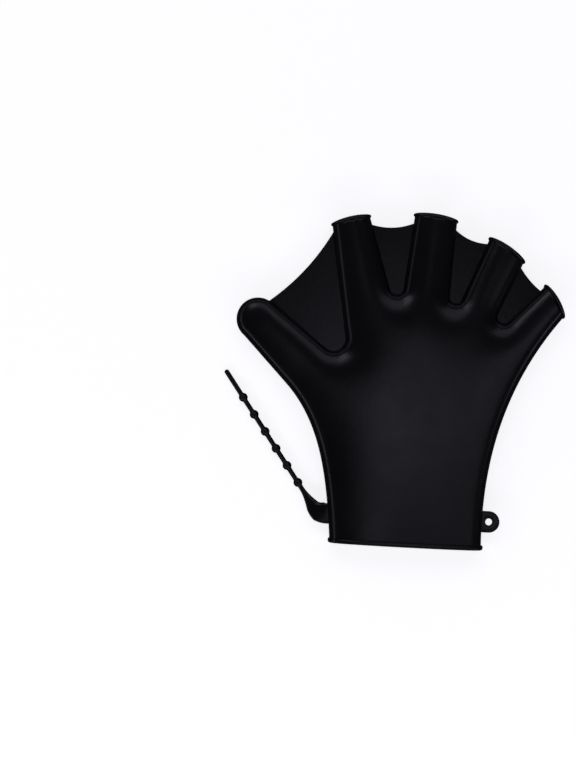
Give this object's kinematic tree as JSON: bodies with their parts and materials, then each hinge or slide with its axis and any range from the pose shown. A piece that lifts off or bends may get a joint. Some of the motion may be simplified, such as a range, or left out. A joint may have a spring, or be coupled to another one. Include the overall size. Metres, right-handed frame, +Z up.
{
  "type": "webbed swim glove",
  "caption": "Moulded black silicone swim glove for the right hand, with thin webs between open-ended finger sleeves, a closed thumb and a knobbed strap and eyelet at the cuff.",
  "frame": {"origin": "under the middle of the palm, on the surface that the glove lies on, 62 mm up the hand from the cuff's edge", "axes": "+X across the hand towards the little finger, +Y from the cuff towards the finger rims, +Z up from the surface towards the back of the hand"},
  "size_m": [0.2094, 0.2068, 0.0189],
  "materials": {
    "silicone": "satin"
  },
  "bodies": {
    "root": {"glove_body": "silicone", "sleeve_thumb": "silicone", "sleeve_index": "silicone", "sleeve_middle": "silicone", "sleeve_ring": "silicone", "sleeve_little": "silicone", "web_thumb_index": "silicone", "web_index_middle": "silicone", "web_middle_ring": "silicone", "web_ring_little": "silicone", "rim_index": "silicone", "rim_middle": "silicone", "rim_ring": "silicone", "rim_little": "silicone", "cuff_rim": "silicone", "closure_strap": "silicone", "strap_eyelet": "silicone"}
  },
  "joints": []
}
